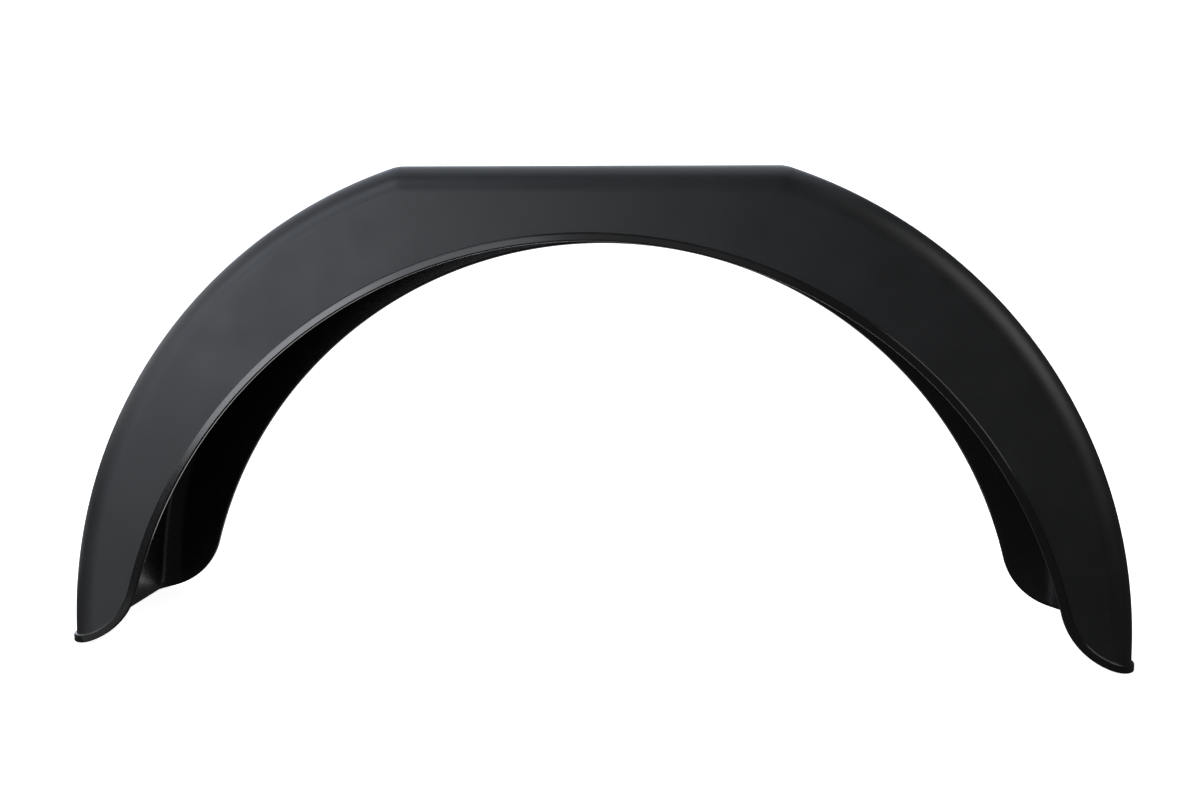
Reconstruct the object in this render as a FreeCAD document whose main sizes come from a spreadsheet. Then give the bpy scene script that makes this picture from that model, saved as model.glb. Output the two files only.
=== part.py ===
import FreeCAD, Part
import math
import os
import Sketcher

# Trailer mudguard: one moulded plastic shell, bent over the wheel as a U-section arch.
# A flat-topped tread runs between two skirts, with a wide rounded fold along each side.
# A raised rim follows the whole open edge: both wheel arches, the tips and the ends of the tread.
# Frame in millimetres: X along the trailer, Y across it (+Y is the side that is bolted to the
# trailer), Z up. The origin is under the middle, on the level that the two ends stand on.

SIZES = {
    "overall_length": 770,  # over the rims at the two ends
    "overall_width": 220,  # over the rims of the two skirts
    "overall_height": 352,  # from the ends up to the flat top
    "wall": 4,
    "fold_radius": 20,  # outside of the fold between tread and skirt
    "flat_length": 266,  # level part of the top, between the shoulders
    "shoulder_radius": 28,  # between the flat top and each arch of the tread
    "straight_drop": 15,  # height of the upright stretch of the tread at each end
    "skirt_depth": 53.5,  # from the flat top down to the middle of the wheel arch
    "tip_radius": 54.5,  # outward turn of the wheel arch at each end
    "foot_width": 1.5,  # level strip that each end stands on, before its edges are rounded
    "rim_height": 6,
    "end_rim_proud": 2,  # how far the rim stands out of the tread
    "side_rim_proud": 1.5,  # how far the rim stands out of the skirts
    "rim_crown": 1.1,  # rounding along the upper outside edge of the rim
    "rim_hollow": 0.3,  # small fillet where the rim meets the shell
    "lip_outer_round": 1.2,  # rounding along the lower outside edge of the rim
    "lip_inner_round": 2.5,  # rounding along the lower inside edge of the rim
    "trim_allowance": 20,  # extra material below and beside the shell, all cut off again
}

START, END, CENTRE = range(1, 4)  # points of a line or an arc in a sketch
LEVEL_AXIS, UPRIGHT_AXIS = range(-1, -3, -1)  # the sketch's own axes
ORIGIN = (LEVEL_AXIS, START)  # the point where they cross
ON_SURFACE = 1e-4  # a point nearer than this lies on the surface

doc = FreeCAD.newDocument("mudguard")
sheet = doc.addObject("Spreadsheet::Sheet", "Sizes")
for row, (alias, value) in enumerate(SIZES.items(), start=1):
    sheet.set(f"A{row}", alias)
    sheet.set(f"B{row}", str(value))
    sheet.setAlias(f"B{row}", alias)
doc.recompute()


def size(alias):
    """The number in the sheet's cell of this name."""
    return float(sheet.get(alias))


def point(x, z):
    return FreeCAD.Vector(x, z, 0)


def line(sketch, start, end):
    return sketch.addGeometry(Part.LineSegment(point(*start), point(*end)))


def arc(sketch, centre, radius, first, last):
    circle = Part.Circle(point(*centre), FreeCAD.Vector(0, 0, 1), radius)
    return sketch.addGeometry(Part.ArcOfCircle(circle, first, last))


def tie(sketch, kind, *references):
    sketch.addConstraint(Sketcher.Constraint(kind, *references))


def dimension(sketch, name, kind, references, drawn, expression):
    """A named dimension: its size as drawn, and the expression of the sheet's cells it follows."""
    index = sketch.addConstraint(Sketcher.Constraint(kind, *references, drawn))
    sketch.renameConstraint(index, name)
    sketch.setExpression(f"Constraints.{name}", expression)


def new_body(name):
    body = doc.addObject("PartDesign::Body", name)
    body.Label = name
    return body


def side_sketch(body, name):
    """An empty sketch on the body's own XZ plane, seen from the side of the trailer."""
    plane = next(p for p in body.Origin.OriginFeatures if p.Role == "XZ_Plane")
    sketch = body.newObject("Sketcher::SketchObject", name)
    sketch.AttachmentSupport = [(plane, "")]
    sketch.MapMode = "FlatFace"
    return sketch


def symmetric_pad(body, sketch, name, width):
    pad = body.newObject("PartDesign::Pad", name)
    pad.Profile = sketch
    pad.SideType = "Symmetric"
    pad.setExpression("Length", width)
    doc.recompute()
    return pad


def round_edges(body, feature, name, radius, chosen):
    """A fillet along the edges of the feature that the function chosen picks."""
    names = [f"Edge{i}" for i, edge in enumerate(feature.Shape.Edges, start=1) if chosen(edge)]
    fillet = body.newObject("PartDesign::Fillet", name)
    fillet.Base = (feature, names)
    fillet.setExpression("Radius", radius)
    doc.recompute()
    return fillet


def combine(body, name, kind, tools):
    step = body.newObject("PartDesign::Boolean", name)
    step.setObjects(tools)
    step.Type = kind
    doc.recompute()
    return step


def middle(edge):
    return edge.valueAt((edge.FirstParameter + edge.LastParameter) / 2)


def draw_tread(sketch, inset):
    """Side outline of the tread: flat top, shoulders, arches and straight drops, inset alike.

    Each arch touches the straight drop below it and the shoulder above it, which sets its radius.
    """
    base_z = -size("trim_allowance")
    end_x = size("overall_length") / 2 - size("end_rim_proud")
    top = size("overall_height")
    flat_x = size("flat_length") / 2
    centre_z = size("straight_drop")
    shoulder = size("shoulder_radius")
    run = end_x - shoulder - flat_x
    rise = top - shoulder - centre_z
    reach = (run**2 + rise**2) / (2 * run)
    turn = math.asin(rise / reach)
    radius = reach + shoulder
    centre_x = end_x - radius

    right_drop = line(sketch, (end_x, base_z), (end_x, centre_z))
    right_arch = arc(sketch, (centre_x, centre_z), radius, 0, turn)
    right_shoulder = arc(sketch, (flat_x, top - shoulder), shoulder, turn, math.pi / 2)
    flat = line(sketch, (flat_x, top), (-flat_x, top))
    left_shoulder = arc(sketch, (-flat_x, top - shoulder), shoulder, math.pi / 2, math.pi - turn)
    left_arch = arc(sketch, (-centre_x, centre_z), radius, math.pi - turn, math.pi)
    left_drop = line(sketch, (-end_x, centre_z), (-end_x, base_z))
    base = line(sketch, (-end_x, base_z), (end_x, base_z))

    smooth_run = (right_drop, right_arch, right_shoulder, flat, left_shoulder, left_arch, left_drop)
    for first, second in zip(smooth_run, smooth_run[1:]):
        tie(sketch, "Tangent", first, END, second, START)
    tie(sketch, "Coincident", left_drop, END, base, START)
    tie(sketch, "Coincident", base, END, right_drop, START)
    for upright in (right_drop, left_drop):
        tie(sketch, "Vertical", upright)
    for level in (flat, base):
        tie(sketch, "Horizontal", level)
    tie(sketch, "Symmetric", right_arch, CENTRE, left_arch, CENTRE, UPRIGHT_AXIS)
    tie(sketch, "Equal", right_arch, left_arch)
    tie(sketch, "Equal", right_shoulder, left_shoulder)

    length_size = f"Sizes.overall_length - 2 * Sizes.end_rim_proud - 2 * ({inset})"
    shoulder_size = f"Sizes.shoulder_radius - ({inset})"
    top_size = f"Sizes.overall_height - ({inset})"
    drop_size = "Sizes.straight_drop"
    below_size = "Sizes.trim_allowance"
    dimension(sketch, "length", "DistanceX", (base, START, base, END), 2 * end_x, length_size)
    dimension(sketch, "flat", "DistanceX", (flat, END, flat, START), 2 * flat_x, "Sizes.flat_length")
    dimension(sketch, "shoulder", "Radius", (right_shoulder,), shoulder, shoulder_size)
    dimension(sketch, "top", "DistanceY", (*ORIGIN, flat, START), top, top_size)
    dimension(sketch, "drop", "DistanceY", (*ORIGIN, right_arch, CENTRE), centre_z, drop_size)
    dimension(sketch, "below", "DistanceY", (base, END, *ORIGIN), -base_z, below_size)


def draw_wheel_space(sketch, lift):
    """Space under the open edge of the shell, with that edge lifted by a parallel distance.

    The wheel arch runs through its crown and touches both tips, which sets its radius.
    """
    side_x = size("overall_length") / 2 + size("trim_allowance")
    base_z = -2 * size("trim_allowance")
    crown_z = size("overall_height") - size("skirt_depth")
    tip_x = size("overall_length") / 2 - size("foot_width")
    tip = size("tip_radius")
    lip = (tip_x**2 + crown_z**2) / (2 * crown_z) - tip
    turn = math.atan2(tip + lip - crown_z, tip_x)

    wheel_arch = arc(sketch, (0, crown_z - lip), lip, turn, math.pi - turn)
    crown = line(sketch, (0, crown_z - lip), (0, crown_z))
    sketch.setConstruction(crown, True)
    left_tip = arc(sketch, (-tip_x, tip), tip, 1.5 * math.pi, 2 * math.pi - turn)
    left_foot = line(sketch, (-tip_x, 0), (-side_x, 0))
    left_side = line(sketch, (-side_x, 0), (-side_x, base_z))
    base = line(sketch, (-side_x, base_z), (side_x, base_z))
    right_side = line(sketch, (side_x, base_z), (side_x, 0))
    right_foot = line(sketch, (side_x, 0), (tip_x, 0))
    right_tip = arc(sketch, (tip_x, tip), tip, math.pi + turn, 1.5 * math.pi)

    tie(sketch, "Tangent", wheel_arch, START, right_tip, START)
    tie(sketch, "Tangent", wheel_arch, END, left_tip, END)
    tie(sketch, "Tangent", left_tip, START, left_foot, START)
    tie(sketch, "Tangent", right_foot, END, right_tip, END)
    square_run = (left_foot, left_side, base, right_side, right_foot)
    for first, second in zip(square_run, square_run[1:]):
        tie(sketch, "Coincident", first, END, second, START)
    for upright in (left_side, right_side):
        tie(sketch, "Vertical", upright)
    for level in (left_foot, right_foot):
        tie(sketch, "Horizontal", level)
    tie(sketch, "Coincident", crown, START, wheel_arch, CENTRE)
    tie(sketch, "PointOnObject", crown, START, UPRIGHT_AXIS)
    tie(sketch, "PointOnObject", crown, END, UPRIGHT_AXIS)
    tie(sketch, "PointOnObject", crown, END, wheel_arch)
    tie(sketch, "Symmetric", base, START, base, END, UPRIGHT_AXIS)
    tie(sketch, "Equal", left_side, right_side)
    tie(sketch, "Equal", left_tip, right_tip)

    crown_size = f"Sizes.overall_height - Sizes.skirt_depth + {lift}"
    tip_size = f"Sizes.tip_radius - {lift}"
    reach_size = "Sizes.overall_length / 2 - Sizes.foot_width"
    breadth_size = "Sizes.overall_length + 2 * Sizes.trim_allowance"
    below_size = "2 * Sizes.trim_allowance"
    dimension(sketch, "crown", "DistanceY", (*ORIGIN, crown, END), crown_z, crown_size)
    dimension(sketch, "tip", "Radius", (right_tip,), tip, tip_size)
    dimension(sketch, "reach", "DistanceX", (*ORIGIN, right_tip, CENTRE), tip_x, reach_size)
    dimension(sketch, "breadth", "DistanceX", (base, START, base, END), 2 * side_x, breadth_size)
    dimension(sketch, "below", "DistanceY", (base, END, *ORIGIN), -base_z, below_size)
    dimension(sketch, "side", "Distance", (right_side,), -base_z, f"{below_size} + {lift}")


def tread_block(name, end_inset, side_inset):
    """A solid block under the tread with both folds rounded, inset from the shell's outside."""
    body = new_body(name)
    sketch = side_sketch(body, f"{name}_outline")
    draw_tread(sketch, end_inset)
    width = f"Sizes.overall_width - 2 * Sizes.side_rim_proud - 2 * ({side_inset})"
    pad = symmetric_pad(body, sketch, f"{name}_pad", width)
    box = pad.Shape.BoundBox

    def along_a_fold(edge):
        place = middle(edge)
        on_a_side = min(place.y - box.YMin, box.YMax - place.y) < ON_SURFACE
        return on_a_side and place.z - box.ZMin > ON_SURFACE

    round_edges(body, pad, f"{name}_folds", f"Sizes.fold_radius - ({side_inset})", along_a_fold)
    return body


def wheel_space_block(name, lift):
    """A block that fills the wheel space up to the lifted open edge, past both skirts."""
    body = new_body(name)
    sketch = side_sketch(body, f"{name}_outline")
    draw_wheel_space(sketch, lift)
    symmetric_pad(body, sketch, f"{name}_pad", "Sizes.overall_width + 2 * Sizes.trim_allowance")
    return body


def between(first, second):
    """Picks the edges that lie on the surfaces of both blocks."""

    def chosen(edge):
        place = Part.Vertex(middle(edge))
        gaps = [place.distToShape(surface)[0] for surface in (first, second)]
        return max(gaps) < ON_SURFACE

    return chosen


shell_block = tread_block("shell_block", "0", "0")
core_block = tread_block("core_block", "Sizes.wall", "Sizes.wall")
rim_zone = wheel_space_block("rim_zone", "Sizes.rim_height")
wheel_space = wheel_space_block("wheel_space", "0")
mudguard = tread_block("mudguard", "-Sizes.end_rim_proud", "-Sizes.side_rim_proud")

rim_face = mudguard.Shape.Shells[0].copy()
shell_face = shell_block.Shape.Shells[0].copy()
core_face = core_block.Shape.Shells[0].copy()
rim_top = rim_zone.Shape.Shells[0].copy()
lip_face = wheel_space.Shape.Shells[0].copy()

combine(mudguard, "rim_band", "Common", [rim_zone])
combine(mudguard, "shell_and_rim", "Fuse", [shell_block])
trimmed = combine(mudguard, "trimmed_shell", "Cut", [core_block, wheel_space])
hollow = round_edges(mudguard, trimmed, "hollow", "Sizes.rim_hollow", between(rim_top, shell_face))
crown = round_edges(mudguard, hollow, "crown", "Sizes.rim_crown", between(rim_top, rim_face))
outer = round_edges(mudguard, crown, "outer", "Sizes.lip_outer_round", between(lip_face, rim_face))
round_edges(mudguard, outer, "inner", "Sizes.lip_inner_round", between(lip_face, core_face))

for item in doc.Objects:
    if "Invalid" in item.State or "Error" in item.State:
        raise RuntimeError(f"{item.Label} failed: {item.State}")
    if item.TypeId == "Sketcher::SketchObject" and not item.FullyConstrained:
        raise RuntimeError(f"{item.Label} is not fully constrained")
shape = mudguard.Shape
if shape.isNull() or not shape.isValid() or len(shape.Solids) != 1:
    raise RuntimeError("the mudguard is not one valid solid")
print(f"{mudguard.Label}: {shape.Volume / 1000:.0f} cubic centimetres, {len(shape.Faces)} faces")

os.makedirs("parts", exist_ok=True)
shape.exportStep(f"parts/{mudguard.Label}.step")
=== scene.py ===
# %% [markdown]
# # Trailer mudguard
# A black moulded mudguard for a single trailer wheel, standing on its two ends in a plain studio.
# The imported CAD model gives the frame: metres, X along the trailer, Y across it, Z up.
# This lesson draws the shell again as one fine smooth surface, gives it the finish of moulded
# plastic, and sets the light and the camera of a catalogue picture.

import bpy
import numpy as np
from mathutils import Matrix, Vector


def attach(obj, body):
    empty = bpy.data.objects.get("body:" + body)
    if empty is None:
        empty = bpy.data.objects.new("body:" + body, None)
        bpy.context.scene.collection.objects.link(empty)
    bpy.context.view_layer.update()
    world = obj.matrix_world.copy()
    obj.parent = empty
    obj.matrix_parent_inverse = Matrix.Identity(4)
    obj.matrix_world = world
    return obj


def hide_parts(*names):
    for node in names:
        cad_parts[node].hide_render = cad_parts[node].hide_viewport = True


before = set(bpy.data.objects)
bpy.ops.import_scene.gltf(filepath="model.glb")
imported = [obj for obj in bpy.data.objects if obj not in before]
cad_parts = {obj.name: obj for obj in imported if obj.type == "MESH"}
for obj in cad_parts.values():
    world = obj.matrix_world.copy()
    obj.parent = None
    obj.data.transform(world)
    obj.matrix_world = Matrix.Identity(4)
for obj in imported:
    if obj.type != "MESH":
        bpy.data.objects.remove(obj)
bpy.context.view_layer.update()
scene = bpy.context.scene

# %% [markdown]
# ## Camera
# The picture was taken almost square to the near skirt, a little from the right and from just
# above the middle of the arch. The camera could be placed by eye. Here its place, turn and lens
# were solved from the edges of the known shape, so that the outline falls where the photo has it.
# The picture is cropped off the lens axis, and the lens shift repeats that.

# %% Camera
IMAGE_WIDTH = 1200  # pixels
FOCAL_LENGTH = 1636.8  # pixels
AXIS_X = 510.0  # pixel column that the lens points at
CAMERA_PLACE = (0.07496, -1.25901, 0.28916)
CAMERA_YAW, CAMERA_PITCH, CAMERA_ROLL = np.radians((6.386, 5.086, 0.147))  # left, down, tilt


def camera_axes(yaw, pitch, roll):
    """Right, up and backward directions of a camera that looks along +Y before it is turned."""
    forward = np.array((-np.sin(yaw) * np.cos(pitch), np.cos(yaw) * np.cos(pitch), -np.sin(pitch)))
    level = np.array((np.cos(yaw), np.sin(yaw), 0.0))
    upright = np.cross(level, forward)
    right = level * np.cos(roll) + upright * np.sin(roll)
    up = upright * np.cos(roll) - level * np.sin(roll)
    return right, up, -forward


camera = bpy.data.objects.new("camera", bpy.data.cameras.new("camera"))
scene.collection.objects.link(camera)
turn = Matrix(np.column_stack(camera_axes(CAMERA_YAW, CAMERA_PITCH, CAMERA_ROLL)).tolist())
camera.matrix_world = Matrix.Translation(CAMERA_PLACE) @ turn.to_4x4()
camera.data.sensor_fit = "HORIZONTAL"
camera.data.lens = camera.data.sensor_width * FOCAL_LENGTH / IMAGE_WIDTH
camera.data.shift_x = 0.5 - AXIS_X / IMAGE_WIDTH
scene.camera = camera
print("lens", round(camera.data.lens, 2), "mm, shift", round(camera.data.shift_x, 4))

# %% [markdown]
# ## Sizes of the moulding
# These are the driving sizes of the real part, the same ones that the CAD source holds.
# The radii of the tread's arches and of the wheel arch follow from them, because each of these
# arcs has to touch its neighbours without a kink.

# %% Sizes
MM = 0.001
LENGTH, WIDTH, HEIGHT = 770 * MM, 220 * MM, 352 * MM
WALL, FOLD = 4 * MM, 20 * MM
FLAT = 266 * MM / 2  # half of the flat top
SHOULDER, DROP = 28 * MM, 15 * MM
SKIRT_DEPTH, TIP, FOOT = 53.5 * MM, 54.5 * MM, 1.5 * MM
RIM_HEIGHT, END_PROUD, SIDE_PROUD = 6 * MM, 2 * MM, 1.5 * MM
HOLLOW, CROWN, OUTER_ROUND, INNER_ROUND = 0.3 * MM, 1.1 * MM, 1.2 * MM, 2.5 * MM

END_X = LENGTH / 2 - END_PROUD  # outside of the tread at its ends
CORNER_X = END_X - FOLD  # middle of the fold's bend at the ends, seen from above
CORNER_Y = WIDTH / 2 - SIDE_PROUD - FOLD

run, rise = CORNER_X + FOLD - SHOULDER - FLAT, HEIGHT - SHOULDER - DROP
ARCH_REACH = (run**2 + rise**2) / (2 * run)
ARCH = ARCH_REACH + SHOULDER
ARCH_X = END_X - ARCH
ARCH_TURN = np.arcsin(rise / ARCH_REACH)

TIP_X = LENGTH / 2 - FOOT
LIP_TOP = HEIGHT - SKIRT_DEPTH
LIP = (TIP_X**2 + LIP_TOP**2) / (2 * LIP_TOP) - TIP
LIP_Z = LIP_TOP - LIP
LIP_TURN = np.arctan2(TIP - LIP_Z, TIP_X)
print(f"arch radius {ARCH / MM:.2f} mm, wheel arch radius {LIP / MM:.2f} mm")

# %% [markdown]
# ## The tread's outline and the open edge
# Two curves hold the whole shape. One is the side outline of the tread: a straight drop, a round
# arch, a tight shoulder and the flat top, then the same in reverse. The other is the open edge:
# the wheel arch, the outward turn at each tip and the level foot. Sampling both at matching
# stations lets one grid run from end to end.

# %% Two curves
DROP_STEPS, ARCH_STEPS, SHOULDER_STEPS, FLAT_STEPS = 3, 120, 14, 24
UPRIGHT_REACH = 22 * MM  # over this length the stations turn from upright to square to the edge


def tread_outline():
    """Stations along the tread's side outline, from the right end over the top to the left end.

    Gives the place (x, z), the outward normal, how far up the straight drop a station is (1 above
    it) and the share of the outline's length that lies behind it.
    """
    up = np.linspace(0, 1, DROP_STEPS, endpoint=False)
    arch = np.linspace(0, ARCH_TURN, ARCH_STEPS, endpoint=False)
    shoulder = np.linspace(ARCH_TURN, np.pi / 2, SHOULDER_STEPS, endpoint=False)
    flat = np.linspace(FLAT, 0, FLAT_STEPS + 1)
    x = np.concatenate((
        END_X + 0 * up, ARCH_X + ARCH * np.cos(arch), FLAT + SHOULDER * np.cos(shoulder), flat))
    z = np.concatenate((
        DROP + 0 * up, DROP + ARCH * np.sin(arch),
        HEIGHT - SHOULDER + SHOULDER * np.sin(shoulder), HEIGHT + 0 * flat))
    angle = np.concatenate((0 * up, arch, shoulder, np.pi / 2 + 0 * flat))
    climb = np.concatenate((up, 1 + 0 * arch, 1 + 0 * shoulder, 1 + 0 * flat))
    steps = np.hypot(np.diff(x), np.diff(z + (climb - 1) * DROP))
    share = np.concatenate(([0], np.cumsum(steps))) / steps.sum()
    mirror = slice(-2, None, -1)
    place = np.column_stack((np.r_[x, -x[mirror]], np.r_[z, z[mirror]]))
    normal = np.column_stack((
        np.r_[np.cos(angle), -np.cos(angle[mirror])], np.r_[np.sin(angle), np.sin(angle[mirror])]))
    return place, normal, np.r_[climb, climb[mirror]], np.r_[share, share[mirror]]


def open_edge_height(x, lift):
    """Height of the open edge over x, raised by a parallel distance.

    The foot is level, the tip is a circle about its own middle and the wheel arch a circle about
    the wheel, so a parallel edge is again a line, a smaller circle and a larger one.
    """
    x = np.abs(x)
    tip = TIP - np.sqrt(np.maximum((TIP - lift) ** 2 - (x - TIP_X) ** 2, 0))
    arch = LIP_Z + np.sqrt(np.maximum((LIP + lift) ** 2 - x**2, 0))
    on_arch = x < (LIP + lift) * np.cos(LIP_TURN)
    return np.where(on_arch, arch, np.where(x < TIP_X, tip, lift))


def open_edge_stations(share, side):
    """Where the open edge of a skirt is met, at given shares of its length from a tip to the middle.

    Gives x on the edge, and how fast x moves for each unit of lift. Stations move square to the
    edge, but straight up at the very end of the skirt, where the fold begins.
    """
    first, last = np.arcsin((TIP_X - CORNER_X) / TIP), np.pi / 2 - LIP_TURN
    tip_length, arch_length = TIP * (last - first), LIP * (np.pi / 2 - LIP_TURN)
    along = share * (tip_length + arch_length)
    tip_angle = np.minimum(first + along / TIP, last)
    arch_angle = LIP_TURN + np.maximum(along - tip_length, 0) / LIP
    on_tip = along < tip_length
    x = np.where(on_tip, TIP_X - TIP * np.sin(tip_angle), LIP * np.cos(arch_angle))
    lean = np.where(on_tip, np.sin(tip_angle), np.cos(arch_angle))
    ease = np.clip((CORNER_X - x) / UPRIGHT_REACH, 0, 1)
    return side * x, side * lean * ease**2 * (3 - 2 * ease)


place, normal, climb, share = tread_outline()
side = np.where(np.arange(len(share)) < len(share) // 2, 1.0, -1.0)
edge_x, edge_lean = open_edge_stations(share, side)
print(len(share), "stations along the tread and along each skirt's edge")

# %% [markdown]
# ## Two skins
# The outside and the inside of the moulding are the same kind of sheet at two depths: a tread, a
# quarter-round fold on each side and a flat skirt below each fold. A solidify modifier on a single
# sheet would thicken it, but would also make its own rough edge. Drawing both skins leaves a clean
# gap along the open edge for the moulded rim.

# %% Skins
FOLD_STEPS, ACROSS_STEPS, SKIRT_STEPS = 14, 28, 8
bend = np.linspace(0, np.pi / 2, FOLD_STEPS, endpoint=False)
across = np.linspace(-CORNER_Y, CORNER_Y, ACROSS_STEPS + 1)
section_y = np.r_[-CORNER_Y + 0 * bend, across, CORNER_Y + 0 * bend]  # middle of the bend, or flat
section_out = np.r_[np.sin(bend), 1 + 0 * across, np.sin(bend)[::-1]]  # normal's part off the tread
section_side = np.r_[-np.cos(bend), 0 * across, np.cos(bend)[::-1]]  # normal's part across


def skin(radius, lift):
    """Tread, folds and skirts of one skin, down to the open edge raised by lift.

    A point lies at the fold's middle line, plus the fold's radius along the section's normal. The
    skirts are ruled: straight lines run from the fold's lower edge to the open edge.
    """
    inset = FOLD - radius * section_out
    x = place[:, None, 0] - inset * normal[:, None, 0]
    z = place[:, None, 1] - inset * normal[:, None, 1]
    bottom = open_edge_height(x, lift)
    z = np.where(climb[:, None] < 1, bottom + (DROP - bottom) * climb[:, None], z)
    y = section_y + radius * section_side + 0 * x
    tread = np.stack((x, y, z), axis=-1)
    tread_normal = np.stack((
        normal[:, None, 0] * section_out, section_side + 0 * x, normal[:, None, 1] * section_out), axis=-1)
    grids = [(tread, tread_normal)]
    low_x = edge_x + edge_lean * lift
    low = np.column_stack((low_x, 0 * low_x, open_edge_height(low_x, lift)))
    down = np.linspace(0, 1, SKIRT_STEPS + 1)[:, None]
    for column, facing in ((0, -1.0), (-1, 1.0)):
        low[:, 1] = tread[:, column, 1]
        skirt = tread[:, column, None] * (1 - down) + low[:, None] * down
        grids.append((skirt, np.zeros_like(skirt) + (0, facing, 0)))
    return grids


outside = skin(FOLD, RIM_HEIGHT + HOLLOW)
inside = [(points, -normals) for points, normals in skin(FOLD - WALL, INNER_ROUND)]
print("outside and inside grids:", [points.shape[:2] for points, _ in outside + inside])

# %% [markdown]
# ## The rim
# A raised rim stiffens the open edge. It runs in one closed loop: across one end of the tread,
# along the far skirt, across the other end and back along the near skirt. It is one profile
# carried along that loop: a small hollow, a ledge, a tight crown, the flat outer band and two
# rounded lower edges.

# %% Rim
SHELL, RIM, INSIDE = range(3)  # what a point of the profile is measured from
HOLLOW_STEPS, ROUND_STEPS = 5, 9
SLOPE_STEP = 0.01 * MM  # the edge's slope is taken over this much to each side


def quarter(kind, middle_out, middle_up, radius, first, last, steps):
    """Points of a quarter circle in the profile, with the direction of the surface's normal.

    A point lies one radius from the middle, along the normal. In a hollow the normal points at the
    middle instead, which a negative radius gives.
    """
    turn = np.radians(np.linspace(first, last, steps + 1))
    out = middle_out + radius * np.cos(turn)
    up = middle_up + radius * np.sin(turn)
    return np.column_stack((kind + 0 * turn, out, up, turn))


profile = np.vstack((
    quarter(SHELL, HOLLOW, RIM_HEIGHT + HOLLOW, -HOLLOW, 0, 90, HOLLOW_STEPS),
    quarter(RIM, -CROWN, RIM_HEIGHT - CROWN, CROWN, 90, 0, ROUND_STEPS),
    quarter(RIM, -OUTER_ROUND, OUTER_ROUND, OUTER_ROUND, 0, -90, ROUND_STEPS),
    quarter(INSIDE, INNER_ROUND, INNER_ROUND, INNER_ROUND, -90, -180, ROUND_STEPS),
))


def rim_loop():
    """Stations of the closed loop: the bend's middle, its normal seen from above and the lean."""
    inner = slice(1, -1)
    one = np.ones(len(edge_x))[inner]
    x = (CORNER_X + 0 * section_y, edge_x[inner], -CORNER_X + 0 * section_y, edge_x[inner][::-1])
    y = (section_y, CORNER_Y * one, section_y[::-1], -CORNER_Y * one)
    normal_x = (section_out, 0 * one, -section_out[::-1], 0 * one)
    normal_y = (section_side, one, section_side[::-1], -one)
    lean = (0 * section_y, edge_lean[inner], 0 * section_y, edge_lean[inner][::-1])
    at_an_end = (1 + 0 * section_y, 0 * one, -1 - 0 * section_y, 0 * one)
    return [np.concatenate(parts)[:, None] for parts in (x, y, normal_x, normal_y, lean, at_an_end)]


def rim():
    """The profile carried along the loop: outward along the loop's normal, upward off the edge.

    The rim's own band is bent about a middle that lies further out at the ends, where the rim
    stands prouder than on the skirts.
    """
    x, y, normal_x, normal_y, lean, at_an_end = rim_loop()
    kind, out, up, turn = profile.T
    radius = np.select((kind == SHELL, kind == RIM), (FOLD, FOLD + SIDE_PROUD), FOLD - WALL) + out
    shift = at_an_end * (END_PROUD - SIDE_PROUD) * (kind == RIM)
    px = x + shift + radius * normal_x + lean * up
    py = y + radius * normal_y
    pz = open_edge_height(px, up)
    climb_over = open_edge_height(px + SLOPE_STEP, up) - open_edge_height(px - SLOPE_STEP, up)
    slope = climb_over / (2 * SLOPE_STEP)
    rise = np.stack((-slope, 0 * slope, 1 + 0 * slope), axis=-1)
    rise /= np.linalg.norm(rise, axis=-1, keepdims=True)
    outward = np.stack((normal_x + 0 * px, normal_y + 0 * px, 0 * px), axis=-1)
    normals = outward * np.cos(turn)[:, None] + rise * np.sin(turn)[:, None]
    points = np.stack((px, py, pz), axis=-1)
    close = np.r_[0:len(points), 0]
    return points[close], normals[close]


rim_grid = rim()
print("rim grid:", rim_grid[0].shape[:2])

# %% [markdown]
# ## One closed mesh
# The grids meet along shared lines. Points that fall together are joined, so the moulding is one
# closed surface, and each point keeps the exact normal of its formula. Smooth shading from exact
# normals shows no facets, and the thin rim keeps crisp lines. A number on each point says how
# smooth the mould was there: 0 on the grained outside, more on the inside, 1 on the rim.

# %% Shell mesh
WELD = 0.0001 * MM
INSIDE_SMOOTHNESS = 0.6


def grid_faces(rows, columns):
    """Corner numbers of each cell of a grid whose points are counted row by row."""
    first = (np.arange(rows - 1)[:, None] * columns + np.arange(columns - 1)).ravel()
    return np.column_stack((first, first + 1, first + columns + 1, first + columns))


def facing_out(points, normals, faces):
    """The same faces, turned round where their own direction is against the normals."""
    a, b, c, d = (points[faces[:, corner]] for corner in range(4))
    own = np.cross(c - a, d - b)
    against = np.sum(own * normals[faces].sum(axis=1)) < 0
    return faces[:, ::-1] if against else faces


def joined(points, faces):
    """Points that fall together become one, and a face that is pinched by that a triangle.

    Gives the points that are left, the faces, and which of them each old point became.
    """
    _, kept, became = np.unique(np.round(points / WELD), axis=0, return_index=True, return_inverse=True)
    became = became.ravel()
    faces = became[faces]
    same = faces == np.roll(faces, -1, axis=1)
    quads, pinched = faces[same.sum(axis=1) == 0], same.sum(axis=1) == 1
    order = (same[pinched].argmax(axis=1)[:, None] + np.arange(1, 4)) % 4
    triangles = np.take_along_axis(faces[pinched], order, axis=1)
    return points[kept], quads.tolist() + triangles.tolist(), became


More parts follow.
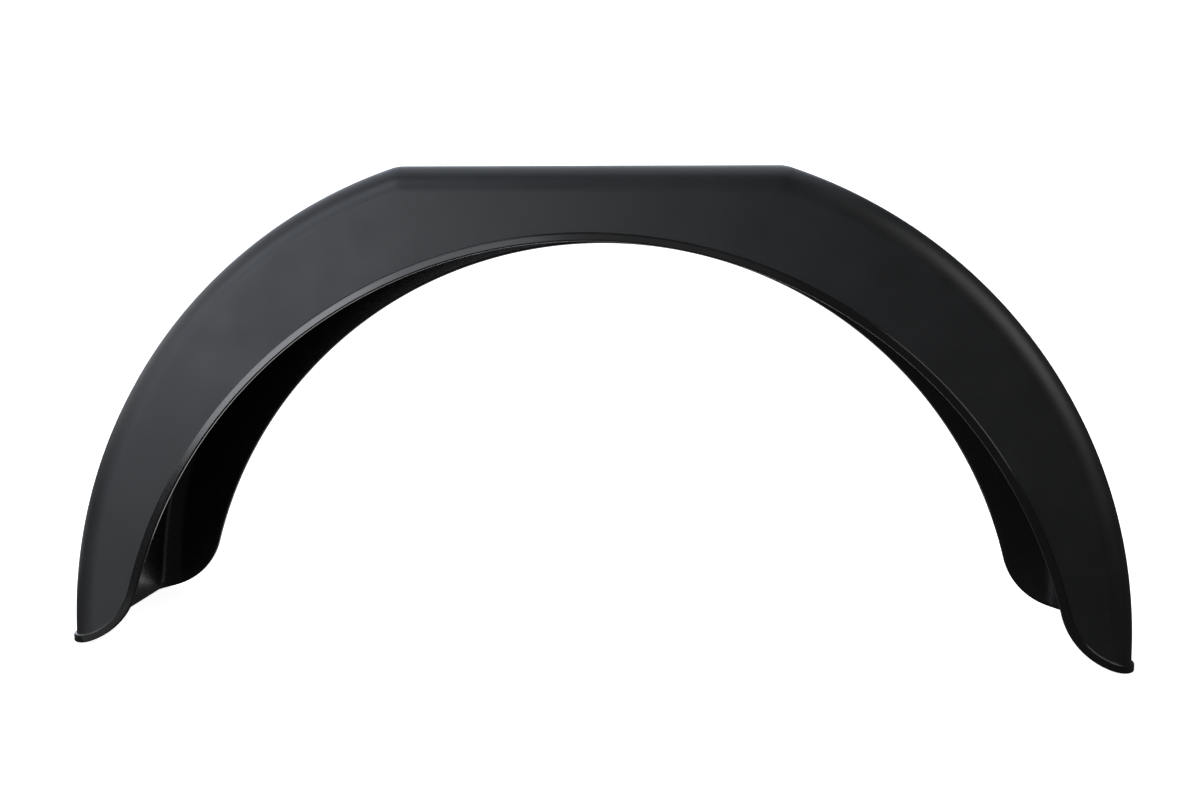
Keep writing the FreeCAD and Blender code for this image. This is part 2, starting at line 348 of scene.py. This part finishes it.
def shell_mesh(name, grids, smoothness):
    """One mesh of all grids, with a normal and a smoothness on each point."""
    points = np.vstack([p.reshape(-1, 3) for p, _ in grids])
    normals = np.vstack([n.reshape(-1, 3) for _, n in grids])
    smooth = np.concatenate([
        np.full(p[..., 0].size, amount) for (p, _), amount in zip(grids, smoothness)])
    faces, start = [], 0
    for p, n in grids:
        cells = grid_faces(*p.shape[:2])
        faces.append(facing_out(p.reshape(-1, 3), n.reshape(-1, 3), cells) + start)
        start += p[..., 0].size
    points, faces, became = joined(points, np.vstack(faces))
    total = np.column_stack([np.bincount(became, normals[:, i]) for i in range(3)])
    total /= np.linalg.norm(total, axis=1, keepdims=True)
    lowest = np.ones(len(points))
    np.minimum.at(lowest, became, smooth)

    mesh = bpy.data.meshes.new(name)
    mesh.from_pydata(points.tolist(), [], faces)
    mesh.attributes.new("smooth", "FLOAT", "POINT").data.foreach_set("value", lowest)
    mesh.shade_smooth()
    mesh.normals_split_custom_set_from_vertices(total.tolist())
    return mesh


grids = outside + inside + [rim_grid]
smoothness = [0] * len(outside) + [INSIDE_SMOOTHNESS] * len(inside) + [1]
shell = bpy.data.objects.new("mudguard_shell", shell_mesh("mudguard_shell", grids, smoothness))
scene.collection.objects.link(shell)
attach(shell, "root")
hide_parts("mudguard")
print(len(shell.data.vertices), "points,", len(shell.data.polygons), "faces")

# %% [markdown]
# ## Black moulded plastic
# The walls come out of a mould with a fine spark-eroded grain, which scatters the light and makes
# the black look soft and grey where a lamp is mirrored. The rim was left smooth, so it mirrors
# the same lamp as a bright band, and the inside lies between the two. One flat black could not
# show that. The finish is built from noise in object coordinates: a cloudy tone and gloss, a
# fine grain that fades where the mould was smooth, and a slight wave.

# %% Moulded plastic
WALL_ROUGHNESS, RIM_ROUGHNESS = 0.44, 0.14
GRAIN_SIZE, CLOUD_SIZE, WAVE_SIZE = 0.7 * MM, 30 * MM, 45 * MM
GRAIN_DEPTH, WAVE_DEPTH = 0.012 * MM, 0.02 * MM
GRAIN_DETAIL, CLOUD_DETAIL, WAVE_DETAIL = 2, 4, 1
UNEVEN_GLOSS = 0.03  # how far the roughness strays to each side
GRAIN_ON_RIM = 0.1  # share of the grain that is left on the rim
DEEP_BLACK, SOFT_BLACK = (0.0080, 0.0079, 0.0077, 1), (0.0104, 0.0102, 0.0100, 1)
NOISE_LOW, NOISE_HIGH = 0.3, 0.7  # the usual reach of noise
PLASTIC_IOR = 1.5


def node(material, kind, inputs=(), **settings):
    """A node of this kind, with its inputs set to values or linked to other nodes' outputs."""
    made = material.node_tree.nodes.new(kind)
    for name, value in settings.items():
        setattr(made, name, value)
    for socket, value in dict(inputs).items():
        if isinstance(value, bpy.types.NodeSocket):
            material.node_tree.links.new(value, made.inputs[socket])
        else:
            made.inputs[socket].default_value = value
    return made


def noise(material, place, size, detail):
    """Noise between 0 and 1 whose patches are about this size."""
    made = node(material, "ShaderNodeTexNoise", {"Vector": place, "Scale": 1 / size, "Detail": detail})
    return made.outputs["Fac"]


def between(material, factor, low, high):
    """A value that runs from low to high as the noise runs over its usual reach."""
    made = node(material, "ShaderNodeMapRange", {
        "Value": factor, "From Min": NOISE_LOW, "From Max": NOISE_HIGH, "To Min": low, "To Max": high})
    return made.outputs["Result"]


def moulded_plastic():
    """Black plastic: grained and soft on the walls, smooth on the rim, never quite even."""
    material = bpy.data.materials.new("moulded_black_plastic")
    material.use_nodes = True
    plastic = material.node_tree.nodes["Principled BSDF"]
    place = node(material, "ShaderNodeTexCoord").outputs["Object"]
    smooth = node(material, "ShaderNodeAttribute", attribute_name="smooth").outputs["Fac"]
    cloud = noise(material, place, CLOUD_SIZE, CLOUD_DETAIL)
    grain = noise(material, place, GRAIN_SIZE, GRAIN_DETAIL)
    wave = noise(material, place, WAVE_SIZE, WAVE_DETAIL)

    tone = node(material, "ShaderNodeValToRGB", {"Fac": cloud})
    ends = ((NOISE_LOW, DEEP_BLACK), (NOISE_HIGH, SOFT_BLACK))
    for stop, (position, colour) in zip(tone.color_ramp.elements, ends):
        stop.position = position
        stop.color = colour

    walls = between(material, cloud, WALL_ROUGHNESS - UNEVEN_GLOSS, WALL_ROUGHNESS + UNEVEN_GLOSS)
    rim = between(material, grain, RIM_ROUGHNESS - UNEVEN_GLOSS, RIM_ROUGHNESS + UNEVEN_GLOSS)
    gloss = node(material, "ShaderNodeMix", {"Factor": smooth, "A": walls, "B": rim})
    grained = node(material, "ShaderNodeMapRange", {"Value": smooth, "To Min": 1, "To Max": GRAIN_ON_RIM})

    slow = node(material, "ShaderNodeBump", {"Height": wave, "Distance": WAVE_DEPTH})
    fine = node(material, "ShaderNodeBump", {
        "Height": grain, "Distance": GRAIN_DEPTH, "Strength": grained.outputs["Result"],
        "Normal": slow.outputs["Normal"]})
    for socket, output in (
            ("Base Color", tone.outputs["Color"]), ("Roughness", gloss.outputs["Result"]),
            ("Normal", fine.outputs["Normal"])):
        material.node_tree.links.new(output, plastic.inputs[socket])
    plastic.inputs["IOR"].default_value = PLASTIC_IOR
    return material


shell.data.materials.append(moulded_plastic())
print("material:", shell.data.materials[0].name)

# %% [markdown]
# ## Floor and sweep
# A catalogue picture stands on a pale sweep: a floor that curves up into a wall with no corner.
# A plane would end in a horizon line. The sweep here is one profile turned about the part, so
# that every view has the same pale ground. It only fills the background: the part mirrors the soft
# boxes, not the sweep.

# %% Sweep
FLOOR_RADIUS, CURVE_RADIUS, WALL_HEIGHT = 3.0, 1.0, 3.5
SWEEP_STEPS, TURN_STEPS = 16, 96
PAPER_WHITE, PAPER_ROUGHNESS, PAPER_GLOW = (0.9, 0.9, 0.9, 1), 0.9, 0.93


def sweep_mesh():
    """A floor disc, a quarter-round and a wall, as one profile turned about the upright axis."""
    bend = np.linspace(0, np.pi / 2, SWEEP_STEPS + 1)
    radius = np.r_[0, FLOOR_RADIUS + CURVE_RADIUS * np.sin(bend), FLOOR_RADIUS + CURVE_RADIUS]
    height = np.r_[0, CURVE_RADIUS * (1 - np.cos(bend)), WALL_HEIGHT]
    turn = np.linspace(0, 2 * np.pi, TURN_STEPS + 1)
    points = np.stack((
        radius * np.cos(turn)[:, None], radius * np.sin(turn)[:, None], height + 0 * turn[:, None]), axis=-1)
    points, faces, _ = joined(points.reshape(-1, 3), grid_faces(*points.shape[:2]))
    mesh = bpy.data.meshes.new("sweep")
    mesh.from_pydata(points.tolist(), [], faces)
    mesh.shade_smooth()
    return mesh


def pale_sweep():
    """White paper that glows by itself, so that it stays white away from the lamps."""
    material = bpy.data.materials.new("pale_sweep")
    material.use_nodes = True
    paper = material.node_tree.nodes["Principled BSDF"]
    paper.inputs["Base Color"].default_value = PAPER_WHITE
    paper.inputs["Roughness"].default_value = PAPER_ROUGHNESS
    paper.inputs["Emission Color"].default_value = (1, 1, 1, 1)
    paper.inputs["Emission Strength"].default_value = PAPER_GLOW
    return material


sweep = bpy.data.objects.new("sweep", sweep_mesh())
sweep.data.materials.append(pale_sweep())
sweep.visible_glossy = sweep.visible_diffuse = sweep.visible_shadow = False
scene.collection.objects.link(sweep)
print("sweep:", len(sweep.data.polygons), "faces")

# %% [markdown]
# ## Soft boxes
# The black shell shows mostly what it mirrors, so each lamp is placed by what it is seen in. The
# key at the front left has a bright core, which the left rim mirrors as its bright band, and
# dimmer sides, which grade the skirt. Large cool panels stand above it. A panel on the right
# draws the line on the right fold and on the rim's crown. Panels above and behind light the top
# and the far side. Two glows just above the floor stand for the paper that the rim's underside
# and the left tip mirror. One evenly bright room could not give such a slow fall of tone.

# %% Soft boxes
COOL, MILD, PLAIN = (0.92, 1.0, 1.15), (0.97, 1.0, 1.06), (1.0, 1.0, 1.0)  # colours of the light
FORWARD, BACKWARD, RIGHT, LEFT = (0, 1, 0), (0, -1, 0), (1, 0, 0), (-1, 0, 0)  # ways a lamp faces
UP, DOWN = (0, 0, 1), (0, 0, -1)
FRONT, REAR, SIDE, CEILING = -1.61, 2.5, 2.0, 2.4  # how far away the lamps stand
OFF_FLOOR = 0.001
ROOM_GREY = (0.055, 0.055, 0.055, 1)


def soft_box(name, place, facing, width, height, radiance, colour=PLAIN):
    """An even rectangular lamp that faces one way, with its brightness given per area."""
    lamp = bpy.data.lights.new(name, "AREA")
    lamp.shape = "RECTANGLE"
    lamp.size, lamp.size_y = width, height
    lamp.energy = radiance * np.pi * width * height
    lamp.color = colour
    made = bpy.data.objects.new(name, lamp)
    made.location = place
    made.rotation_euler = Vector(facing).to_track_quat("-Z", "Y").to_euler()
    made.visible_camera = False
    scene.collection.objects.link(made)
    return made


soft_box("key_core", (-0.6375, FRONT, 0.285), FORWARD, 0.365, 0.63, 6.2, MILD)
soft_box("key_left", (-1.225, FRONT, 0.40), FORWARD, 0.81, 0.40, 4.3, COOL)
soft_box("key_right", (-0.31, FRONT, 0.1925), FORWARD, 0.29, 0.425, 2.3, MILD)
soft_box("over_key", (-0.56, FRONT, 0.85), FORWARD, 0.52, 0.50, 0.8, COOL)
soft_box("mid_left_panel", (-1.98, FRONT, 0.95), FORWARD, 2.035, 0.70, 1.9, COOL)
soft_box("high_left_panel", (-1.77, FRONT, 2.15), FORWARD, 2.46, 1.70, 2.8, COOL)
soft_box("front_fill", (0.02, FRONT, 0.225), FORWARD, 0.36, 0.45, 0.25)
soft_box("left_panel", (-SIDE, 0.07, 1.10), RIGHT, 3.36, 1.30, 1.2, MILD)
soft_box("right_panel", (SIDE, -0.86, 1.43), LEFT, 1.50, 1.34, 2.35)
soft_box("top_panel", (-0.69, 1.33, CEILING), DOWN, 3.46, 3.34, 0.95, COOL)
soft_box("rear_panel", (-0.75, REAR, 1.25), BACKWARD, 3.30, 2.30, 1.5, COOL)
soft_box("rear_floor_glow", (-0.70, 1.1575, OFF_FLOOR), UP, 1.80, 2.085, 0.85)
soft_box("front_floor_glow", (-0.39, -0.19, OFF_FLOOR), UP, 0.08, 0.156, 0.38)

world = bpy.data.worlds.new("studio")
world.use_nodes = True
world.node_tree.nodes["Background"].inputs["Color"].default_value = ROOM_GREY
scene.world = world
scene.view_settings.view_transform = "Standard"
